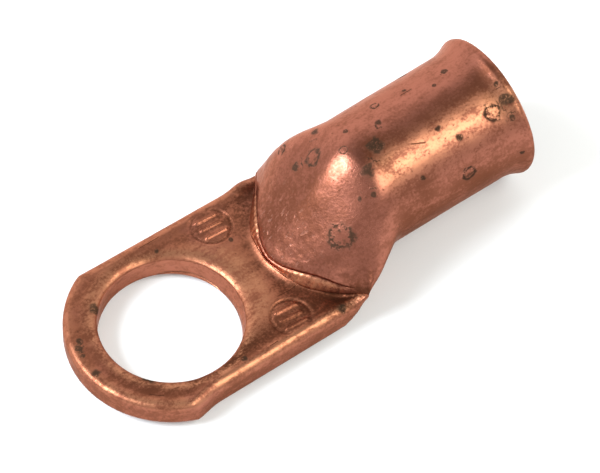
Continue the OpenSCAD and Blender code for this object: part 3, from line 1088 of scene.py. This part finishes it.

# %% [markdown]
# The larger part of this share follows the forms, and there it is painted shade: a dark band
# along the top of the tube, which paints its reflection of the dark overhead, the lower flanks
# of the tube and the nose, the folded sides and the valley inside them. The palm's end is a
# little sootier. A ring between the hole and the nose is kept free of it, which paints the
# highlight that lies there.

# %% How much soot and painted shade each point has
# Painted reflection: a darker band along the top of the tube, where it mirrors the dark overhead.
dark_reflection_band = 0.9 * on_tube * bell(bend_turn + 14, 13)
# Painted shade: the lower flanks of the tube and the nose and the palm's side faces are darker.
tube_flank_shade = not_palm * mix(0.25, 0.75, is_tube) * ease((9.5 - z) / 4)
nose_flank_shade = 0.45 * not_palm * bell(x - 22.3, 2.2) * ease((-y - 3) / 3)
palm_side_shade = 0.65 * is_palm * ease(1 - 2 * upward) * (radius > hole_r + 1.2)
# Painted shade in the valley inside the folded border, strongest on the near side.
valley_shade = on_top * mix(0.25, 1.2, near_side) * bell(from_edge - valley_at, 0.9)
palm_end = 0.25 * on_top * ease((4 - x) / 6)
before_nose = ease(x / 5) * ease((5.5 - np.abs(y)) / 3)   # between the hole and the nose
# Painted highlight: less soot and shade in a ring between the hole and the nose.
ring_highlight_lift = on_top * bell(radius - hole_r - 2.0, 1.5) * before_nose
soot_and_shade = (soot_and_shade_patches + dark_reflection_band + tube_flank_shade + nose_flank_shade + palm_side_shade + valley_shade + palm_end
         + 0.9 * near_ear_shade - ring_highlight_lift - 1.4 * rim_highlight)
# The step's face keeps only the painted shade beside the near ear.
soot_and_shade = np.where(step_face > 0, near_ear_shade, soot_and_shade)
print("share of sooty points:", round(float((soot_and_shade > 0.5).mean()), 2))

# %% [markdown]
# What lies low is darker: painted shade in the valleys, the near ear's pocket, the crease
# under the lip and the foot of the step, and dirt in the stamps. What stands high is lighter:
# the borders of the palm and the rim of the hole are rubbed and carry a painted highlight,
# and painted highlights lie in a ring beside the hole, on the step's face and along the
# bright band of the tube.

# %% Brown, grime and painted shade, rubbed borders and painted highlights
# Darker with depth: painted shade in the valley, at the foot and in the near ear's pocket, dirt in
# the stamps.
FULL_DARK_DEPTH = 0.16       # how deep a hollow is, in mm, before the dirt fills it

brown = np.clip(is_palm + step_face, 0, 1) * mix(0.5, 1, upward)
lowness = np.clip(-(palm_relief + stamp_relief) / FULL_DARK_DEPTH, 0, 1) * on_top
# Painted shade in the creases at the foot of the step and under the lip.
foot_crease_shade = on_top * bell(from_foot, 0.18) * ease(-(y + 3.5) / 2)
lip_crease_shade = 0.9 * upper_ring * bell(from_lip, 0.14)
grime_and_shade = lowness + lip_crease_shade + 1.2 * near_ear_shade + foot_crease_shade
# Rubbed borders of the palm, with a painted highlight, strongest on the lit near side.
edge_wear_and_highlight = on_top * bell(from_edge - 0.5, 0.5) * mix(0.3, 1, near_side)
# Near the hole the rim is rubbed; its crest and its far side carry a painted highlight.
rim_wear_and_highlight = on_top * bell(radius - hole_r - 0.6, 0.35) + 10 * rim_crest + 1.6 * rim_highlight
# Painted highlight: a lighter ring between the hole and the nose.
ring_highlight = (1.6 * on_top * bell(radius - hole_r - 1.4, 1.1) * ease(x / 6)
               * ease((7 - np.abs(y)) / 5))
# Painted highlight: a lighter band down the tube, where the key lamp is mirrored.
tube_highlight = on_tube * bell(bend_turn + 34, 15)
# The step's face gets a painted highlight, except beside the near ear.
wear_and_highlight = edge_wear_and_highlight + rim_wear_and_highlight + ring_highlight + tube_highlight + step_face * (1 - near_ear_shade)
pebbled = nose_front * upward * bell(x - 13.6, 3.2) * bell(y - 0.6, 3.6)
print(f"means: brown {brown.mean():.2f}, grime {grime_and_shade.mean():.2f}, rubbed {wear_and_highlight.mean():.2f}")

# %% [markdown]
# A mesh can carry named values at its points, which are called attributes. The material
# reads them by name, and in between the points they are mixed straight.

# %% Store the values
STAIN_SEEN, SCRATCH_SEEN = 2.0, 0.5   # beyond this nothing of a mark is drawn


def write_attribute(name, kind, values):
    """Stores values at the mesh's points under a name that the material can read."""
    attribute = mesh.attributes.new(name, kind, "POINT")
    attribute.data.foreach_set("vector" if kind == "FLOAT_VECTOR" else "value", np.ravel(values))


write_attribute("stain_offset", "FLOAT_VECTOR", np.clip(stain, -4, 4))
write_attribute("scratch_offset", "FLOAT_VECTOR", np.clip(scratch, -6, 6))
point_shares = {
    "stain_ring": stain_kind, "stain_near": stain_distance.min(axis=0) < STAIN_SEEN,
    "scratch_near": scratch_distance.min(axis=0) < SCRATCH_SEEN, "brown": brown,
    "grime_and_shade": np.clip(grime_and_shade, 0, 1), "wear_and_highlight": np.clip(wear_and_highlight, 0, 1),
    "soot_and_shade": np.clip(soot_and_shade, -1, 1), "drawn": on_tube, "pebbled": pebbled}
for name, values in point_shares.items():
    write_attribute(name, "FLOAT", values)
print("values per point:", [a.name for a in mesh.attributes if not a.name.startswith(".")])

# %% [markdown]
# ## Bare copper, drawn, pressed and tarnished
#
# Fresh copper is a bright salmon pink. In a drawer it dulls in weeks: first warmer and
# browner, then dark in patches, with small black and green spots where something wet has
# sat. The finish is built up that way: a clean colour, cloudy tarnish over it at three
# sizes that also carries painted shade, rubbed borders with painted highlights, dirt and
# painted shade in the hollows, and at last the stains. Tarnish is rougher than clean metal,
# and a stain is rougher still and a little less of a metal, so the same shares drive
# roughness and metallic.
#
# Colours are written as sRGB hex numbers, as a paint program shows them. The shader works
# in linear light, so one function turns them over.

# %% Colours
def linear(hex_colour):
    """Turns a colour such as #B4654A from sRGB to linear red, green, blue and alpha."""
    parts = [int(hex_colour[i:i + 2], 16) / 255 for i in (1, 3, 5)]
    return (*[c / 12.92 if c <= 0.04045 else ((c + 0.055) / 1.055) ** 2.4 for c in parts], 1.0)


CLEAN, WARM, DARK = linear("#A06351"), linear("#A0634A"), linear("#663A28")
# The dirt colour also paints shade in creases and hollows, and the rubbed colour paints highlights.
DIRT_AND_SHADE, STAIN = linear("#4A2A1C"), linear("#2B2216")
RUBBED_AND_HIGHLIGHT, NICK = linear("#BD8160"), linear("#C99583")
print("clean copper in linear light:", [round(c, 3) for c in CLEAN[:3]])

# %% [markdown]
# A material is a tree of nodes. Adding one takes several lines, always the same, so a small
# function does it: it makes the node, sets it up, fills its inputs and hands back an output
# that the next node can take.

# %% Adding a node
def add(tree, kind, inputs=(), out=0, **settings):
    """Adds a node with its settings and links, and gives back one of its outputs. Each input,
    in order or by name, is a constant or an output of another node."""
    node = tree.nodes.new("ShaderNode" + kind)
    for name, value in settings.items():
        setattr(node, name, value)
    by_key = inputs if isinstance(inputs, dict) else dict(enumerate(inputs))
    for key, value in by_key.items():
        if isinstance(value, bpy.types.NodeSocket):
            tree.links.new(value, node.inputs[key])
        else:
            node.inputs[key].default_value = value
    return node.outputs[out]


copper = bpy.data.materials.new("tarnished_drawn_copper")
copper.use_nodes = True
tree = copper.node_tree
shader = tree.nodes["Principled BSDF"]
share = {name: add(tree, "Attribute", out="Fac", attribute_name=name)
         for name in point_shares}
print("shares that the copper reads:", ", ".join(share))

# %% [markdown]
# The clouds are noise in the object's own coordinates, which are metres: a scale of 1000
# divided by a size in millimetres gives clouds of about that size. The finest one is drawn
# coarser than the grain of real tarnish, which would only shimmer. The patches are drawn
# out along the tube, the way the metal was.
#
# Noise runs from 0 to 1 and stays near the middle, so a Map Range node with a smooth step
# picks out a part of it: nothing below its first value, all above its second.

# %% Clouds of tarnish
CLOUD_MM, PATCH_MM, GRAIN_MM = 5.0, 0.95, 0.25
SMOOTH = "SMOOTHSTEP"

place = add(tree, "TexCoord", out="Object")
stretched = add(tree, "Mapping", {"Vector": place, "Scale": (0.45, 1, 1)})
clouds = add(tree, "TexNoise", {
    "Vector": place, "Scale": 1000 / CLOUD_MM, "Detail": 3.0, "Roughness": 0.6})
patches = add(tree, "TexNoise", {
    "Vector": stretched, "Scale": 1000 / PATCH_MM, "Detail": 4.0, "Roughness": 0.65})
grain = add(tree, "TexNoise", {
    "Vector": place, "Scale": 1000 / GRAIN_MM, "Detail": 2.0, "Roughness": 0.6})
fine = add(tree, "Math", (grain, 0.4), operation="MULTIPLY")
mottle = add(tree, "Math", (patches, 0.6, fine), operation="MULTIPLY_ADD")
print("noise at", CLOUD_MM, PATCH_MM, "and", GRAIN_MM, "mm")

# %% [markdown]
# Warmth and darkness are two things. The warm brown follows the large clouds and is strongest
# on the palm. The dark patches follow the mottle, and the share of soot and painted shade both
# spreads them and darkens the metal between them.

# %% How warm and how dark the tarnish and the painted shade are
# The soot share also carries painted shade, which spreads and darkens the same way.
SOOT_AND_SHADE_SHIFT = 0.10      # how much further soot lets the dark patches spread
SOOT_AND_SHADE_DARK = 0.38       # how dark soot makes the metal by itself

cloudy = add(tree, "MapRange", (clouds, 0.25, 0.6), interpolation_type=SMOOTH)
warmth = add(tree, "Math", (share["brown"], cloudy), operation="MULTIPLY")
spread = add(tree, "Math", (share["soot_and_shade"], SOOT_AND_SHADE_SHIFT, mottle), operation="MULTIPLY_ADD")
spots = add(tree, "MapRange", (spread, 0.43, 0.64), interpolation_type=SMOOTH)
strength = add(tree, "Math", (clouds, 0.5, 0.22), operation="MULTIPLY_ADD")
spots = add(tree, "Math", (spots, strength), operation="MULTIPLY")
tarnish_and_shade = add(tree, "Math", (share["soot_and_shade"], SOOT_AND_SHADE_DARK, spots),
              operation="MULTIPLY_ADD", use_clamp=True)
print(len(tree.nodes), "nodes with the tarnish")

# %% [markdown]
# Rubbing takes the tarnish off unevenly, so the share of rubbed borders and painted
# highlights is broken up by the same mottle, turned over: a Map Range whose first value is
# the larger one falls instead of rising. Dirt sticks where the tarnish is rough, and the
# painted shade goes with it, so it keeps the mottle as it is. The pebbled front of the nose
# has flat bright nicks, and dark pits between them.

# %% Rubbed borders and painted highlights, dirt and painted shade, and pebbles
NICK_MM = 0.6

# The rubbed share carries painted highlights, and the grime share painted shade.
bare_spots = add(tree, "MapRange", (mottle, 0.62, 0.42), interpolation_type=SMOOTH)
wear_and_highlight_share = add(tree, "Math", (share["wear_and_highlight"], bare_spots), operation="MULTIPLY")
dull_spots = add(tree, "MapRange", (mottle, 0.35, 0.6), interpolation_type=SMOOTH)
grime_and_shade_share = add(tree, "Math", (share["grime_and_shade"], dull_spots), operation="MULTIPLY", use_clamp=True)
flattened = add(tree, "Mapping", {"Vector": place, "Scale": (1, 2.2, 0.8)})
nicks = add(tree, "TexNoise", {
    "Vector": flattened, "Scale": 1000 / NICK_MM, "Detail": 1.0, "Roughness": 0.5})
nicks = add(tree, "MapRange", (nicks, 0.63, 0.69), interpolation_type=SMOOTH)
nicked = add(tree, "Math", (share["pebbled"], nicks), operation="MULTIPLY")
pits = add(tree, "MapRange", (grain, 0.48, 0.62), interpolation_type=SMOOTH)
pitted = add(tree, "Math", (share["pebbled"], pits), operation="MULTIPLY")
print(len(tree.nodes), "nodes with the dirt")

# %% [markdown]
# A stain's edge is frayed: its offset is bent by noise, and the distance from its middle is
# shifted by the mottle before it is compared with the radius. A drop that has dried leaves
# a thin ring and little inside.

# %% How far a point is from the nearest stain
WARP_MM, WARP = 0.8, 1.1         # size of the noise that bends a stain, and how much it does
FRAY, RING_FRAY = 2.4, 1.1       # how ragged a full stain and a ring are
MOTTLE_MIDDLE = 0.47             # the mottle's usual value

offset = add(tree, "Attribute", out="Vector", attribute_name="stain_offset")
warp = add(tree, "TexNoise", {"Vector": place, "Scale": 1000 / WARP_MM, "Detail": 2.0}, out="Color")
warp = add(tree, "VectorMath", (warp, (0.5, 0.5, 0.5)), operation="SUBTRACT")
warp = add(tree, "VectorMath", {0: warp, "Scale": WARP}, operation="SCALE")
warped = add(tree, "VectorMath", (offset, warp), operation="ADD")
distance = add(tree, "VectorMath", (warped,), out="Value", operation="LENGTH")
around = add(tree, "Math", (mottle, MOTTLE_MIDDLE), operation="SUBTRACT")
fray = add(tree, "Math", (share["stain_ring"], RING_FRAY - FRAY, FRAY), operation="MULTIPLY_ADD")
frayed = add(tree, "Math", (around, fray, distance), operation="MULTIPLY_ADD")
print("stains are bent by noise of", WARP_MM, "mm")

# %% [markdown]
# Both kinds of stain come from that distance: a full one is dark up to its edge, and a ring
# only near its radius. Tiny specks everywhere are the highest tips of the grain.

# %% Full stains, rings and specks
RING_AT = 0.85                   # where a ring lies, as a share of its radius

full = add(tree, "MapRange", (frayed, 1.1, 0.65), interpolation_type=SMOOTH)
holes = add(tree, "MapRange", (grain, 0.15, 0.5), interpolation_type=SMOOTH)
full = add(tree, "Math", (full, holes), operation="MULTIPLY")
from_ring = add(tree, "Math", (frayed, RING_AT), operation="SUBTRACT")
from_ring = add(tree, "Math", (from_ring,), operation="ABSOLUTE")
edge = add(tree, "MapRange", (from_ring, 0.30, 0.04), interpolation_type=SMOOTH)
gaps = add(tree, "MapRange", (mottle, 0.38, 0.50), interpolation_type=SMOOTH)
edge = add(tree, "Math", (edge, gaps), operation="MULTIPLY")
blots = add(tree, "MapRange", (mottle, 0.48, 0.6), interpolation_type=SMOOTH)
blots = add(tree, "Math", (blots, 0.6), operation="MULTIPLY")
inside = add(tree, "Math", (full, blots), operation="MULTIPLY")
ring = add(tree, "Math", (edge, inside), operation="MAXIMUM")
stained = add(tree, "Mix", {0: share["stain_ring"], "A": full, "B": ring})
stained = add(tree, "Math", (stained, share["stain_near"]), operation="MULTIPLY")
specks = add(tree, "MapRange", (grain, 0.70, 0.76), interpolation_type=SMOOTH)
specks = add(tree, "Math", (specks, 0.6), operation="MULTIPLY")
stained = add(tree, "Math", (stained, specks), operation="MAXIMUM")
print(len(tree.nodes), "nodes with the stains")

# %% [markdown]
# A scratch is drawn where a point lies between its two ends and less than a tenth of a
# millimetre from its line. Both limits are soft.

# %% Scratches
offset = add(tree, "Attribute", out="Vector", attribute_name="scratch_offset")
offset = add(tree, "SeparateXYZ", (offset,)).node.outputs
along = add(tree, "Math", (offset["X"],), operation="ABSOLUTE")
along = add(tree, "MapRange", (along, 1.0, 0.8), interpolation_type=SMOOTH)
across = add(tree, "Math", (offset["Y"],), operation="ABSOLUTE")
across = add(tree, "MapRange", (across, 0.07, 0.02), interpolation_type=SMOOTH)
scratched = add(tree, "Math", (along, across), operation="MULTIPLY")
scratched = add(tree, "Math", (scratched, share["scratch_near"]), operation="MULTIPLY")
print(len(tree.nodes), "nodes with the scratches")

# %% [markdown]
# ### The layers of colour
#
# Now the colours go over each other like thin washes, from the clean metal up to the
# stains. Each wash has a share of the surface and a strength. A Mix node keeps sockets for
# each type of value, and those of its two colours are numbers 6 and 7.

# %% Colour
# The tarnish, rubbed and dirt washes also lay on painted shade and painted highlights.
WASHES = (
    (warmth, 1.0, WARM), (tarnish_and_shade, 1.0, DARK), (wear_and_highlight_share, 0.8, RUBBED_AND_HIGHLIGHT),
    (nicked, 0.6, NICK), (pitted, 0.55, DARK), (grime_and_shade_share, 0.7, DIRT_AND_SHADE),
    (stained, 0.85, STAIN), (scratched, 0.8, DIRT_AND_SHADE))

colour = CLEAN
for covered, weight, wash in WASHES:
    amount = add(tree, "Math", (covered, weight), operation="MULTIPLY")
    colour = add(tree, "Mix", {0: amount, 6: colour, 7: wash}, out=2, data_type="RGBA")
tree.links.new(colour, shader.inputs["Base Color"])
print(len(WASHES), "washes over the clean copper")

# %% [markdown]
# ### Roughness, metal and grain
#
# Clean drawn copper is satin. Everything that lies on it makes it duller, so each share
# adds a little roughness. The grain, the nicks and the scratches are also heights, which a
# Bump node turns into tiny tilts of the surface. They are far too small for the mesh.
#
# Most metals turn white where they are seen edge on. Copper keeps much of its colour there,
# and tarnish helps it to, so the shader's tint for grazing light is a pale copper.

# %% Roughness, metal and the fine grain
CLEAN_ROUGHNESS = 0.26
DULLER = ((tarnish_and_shade, 0.14), (grime_and_shade_share, 0.12), (stained, 0.3), (share["brown"], 0.12),
          (share["drawn"], 0.07))
LIFTED = ((patches, 0.5), (grain, 0.4), (scratched, -0.9), (nicked, -0.7), (stained, 0.15))
GRAIN_DEPTH = 0.05 * MM
STAIN_COVER = 0.25               # how much less of a metal a stain is

roughness = CLEAN_ROUGHNESS
for covered, more in DULLER:
    roughness = add(tree, "Math", (covered, more, roughness),
                    operation="MULTIPLY_ADD", use_clamp=True)
height = 0.0
for covered, lift in LIFTED:
    height = add(tree, "Math", (covered, lift, height), operation="MULTIPLY_ADD")
metal = add(tree, "Math", (stained, -STAIN_COVER, 1.0), operation="MULTIPLY_ADD")
bump = add(tree, "Bump", {"Strength": 0.8, "Distance": GRAIN_DEPTH, "Height": height})
tree.links.new(roughness, shader.inputs["Roughness"])
tree.links.new(metal, shader.inputs["Metallic"])
tree.links.new(bump, shader.inputs["Normal"])
shader.inputs["Specular Tint"].default_value = linear("#F5D8CC")
mesh.materials.append(copper)
print(len(tree.nodes), "nodes in the copper")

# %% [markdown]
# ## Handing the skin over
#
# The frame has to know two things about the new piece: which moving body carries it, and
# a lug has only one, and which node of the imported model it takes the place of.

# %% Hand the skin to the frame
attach(lug, "root")
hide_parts("cable_lug")
print(lug.name, "takes the place of cable_lug")

# %% [markdown]
# ## The table and the light
#
# The lug lies on white paper, which it touches with the lowest point of its flare, a little
# below the palm. Paper this pale would still come out light grey, so it also gives off a
# little light of its own, but only toward the camera and in what mirrors it. So it looks
# equally pale in both, and the lug's shadow on it stays.

# %% Floor
FLOOR_HALF, FLOOR_Z = 1.5, cad_low[2]
corners = [(-1, -1), (1, -1), (1, 1), (-1, 1)]
floor_mesh = bpy.data.meshes.new("floor")
floor_mesh.from_pydata(
    [(FLOOR_HALF * right, FLOOR_HALF * back, FLOOR_Z) for right, back in corners],
    [], [(0, 1, 2, 3)])
floor = bpy.data.objects.new("floor", floor_mesh)
scene.collection.objects.link(floor)
print(f"the floor lies at {FLOOR_Z / MM:.2f} mm")

# %% [markdown]
# Light Path tells what kind of ray has hit the paper. The glow is on for the camera's own
# rays, for rays that a mirror has sent on and for those that have passed through glass.

# %% Paper
PAPER_GLOW = 0.10
paper = bpy.data.materials.new("white_paper")
paper.use_nodes = True
sheet = paper.node_tree.nodes["Principled BSDF"]
sheet.inputs["Base Color"].default_value = linear("#EEEEEE")
sheet.inputs["Roughness"].default_value = 0.9
sheet.inputs["Emission Color"].default_value = (1, 1, 1, 1)
rays = add(paper.node_tree, "LightPath").node.outputs
seen = rays["Is Camera Ray"]
for mirrored in ("Is Glossy Ray", "Is Transmission Ray"):
    seen = add(paper.node_tree, "Math", (seen, rays[mirrored]), operation="MAXIMUM")
glow = add(paper.node_tree, "Math", (seen, PAPER_GLOW), operation="MULTIPLY")
paper.node_tree.links.new(glow, sheet.inputs["Emission Strength"])
floor_mesh.materials.append(paper)
print("the paper glows with", PAPER_GLOW)

# %% [markdown]
# The camera stands a metre away with a long lens, so the lug is drawn almost without
# perspective, and looks down at its near side past the stud hole. The lens follows from
# how much of the table the view takes in: its focal length is to the sensor's width as the
# distance is to the view's width.

# %% Camera
AIM = Vector((13.8, -1.0, 5.1)) * MM
AZIMUTH, ELEVATION = math.radians(-36.3), math.radians(55.0)
VIEW_WIDTH = 54.65 * MM
DISTANCE = 1.0

to_camera = Vector((
    math.sin(AZIMUTH) * math.cos(ELEVATION), -math.cos(AZIMUTH) * math.cos(ELEVATION),
    math.sin(ELEVATION)))
camera = bpy.data.objects.new("camera", bpy.data.cameras.new("camera"))
camera.data.sensor_width = 36
camera.data.lens = DISTANCE * camera.data.sensor_width / VIEW_WIDTH
camera.data.clip_start, camera.data.clip_end = 0.01, 10
camera.location = AIM + to_camera * DISTANCE
camera.rotation_mode = "QUATERNION"
camera.rotation_quaternion = (-to_camera).to_track_quat("-Z", "Y")
scene.collection.objects.link(camera)
scene.camera = camera
print(f"a lens of {camera.data.lens:.0f} mm")

# %% [markdown]
# Two soft boxes light the lug. The key one stands on the near side and draws the long
# bright band down the tube. The far one draws the highlight on the hump of the nose. A
# lamp's energy is spread over its face, so its brightness times its area times pi gives
# the energy.

# %% Lights
LAMP_DISTANCE = 0.5


def softbox(name, direction, size, brightness, colour):
    """A rectangular lamp that looks at the lug from a direction and has a given brightness."""
    lamp = bpy.data.lights.new(name, "AREA")
    lamp.shape = "RECTANGLE"
    lamp.size, lamp.size_y = size
    lamp.energy = brightness * math.pi * size[0] * size[1]
    lamp.color = colour
    obj = bpy.data.objects.new(name, lamp)
    toward = Vector(direction).normalized()
    obj.location = AIM + toward * LAMP_DISTANCE
    obj.rotation_mode = "QUATERNION"
    obj.rotation_quaternion = toward.to_track_quat("Z", "Y")
    obj.visible_camera = False
    scene.collection.objects.link(obj)
    print(f"{name}: {lamp.energy:.2f} W")


softbox("key_softbox", (0.34, -0.57, 0.75), (0.28, 0.25), 5.4, (0.96, 1.0, 0.92))
softbox("far_softbox", (-0.67, 0.28, 0.69), (0.27, 0.25), 17.0, (0.85, 0.93, 1.0))

# %% [markdown]
# The rest is a studio that is pale at the horizon and darker overhead, which metal needs:
# what it shows is mostly what stands round it. One side, far behind the tube, is paler
# still, as a window would make it.

# %% Studio
HORIZON, ZENITH = 0.84, 0.28
WINDOW_SIDE = 0.7                # how much paler the horizon is on the window's side
WINDOW_TOWARD = (0.5, 0.85, 0)   # where that side lies

world = bpy.data.worlds.new("studio")
scene.world = world
world.use_nodes = True
sky = world.node_tree
background = sky.nodes["Background"]
looking = add(sky, "TexCoord", out="Generated")
upness = add(sky, "SeparateXYZ", (looking,), out="Z")
to_window = add(sky, "VectorMath", (looking, WINDOW_TOWARD), out="Value", operation="DOT_PRODUCT")
paler = add(sky, "MapRange", (to_window, 0.3, 0.8, HORIZON, HORIZON + WINDOW_SIDE),
            interpolation_type=SMOOTH)
fall = add(sky, "MapRange", (upness, 0.70, 0.97, paler, ZENITH), interpolation_type=SMOOTH)
sky.links.new(fall, background.inputs["Strength"])
background.inputs["Color"].default_value = (1, 1, 1, 1)
print("brightness at the horizon", HORIZON, "and overhead", ZENITH)

# %% [markdown]
# ## Output settings
#
# The Standard view transform shows colours as they are written.

# %% Output settings
scene.view_settings.view_transform = "Standard"
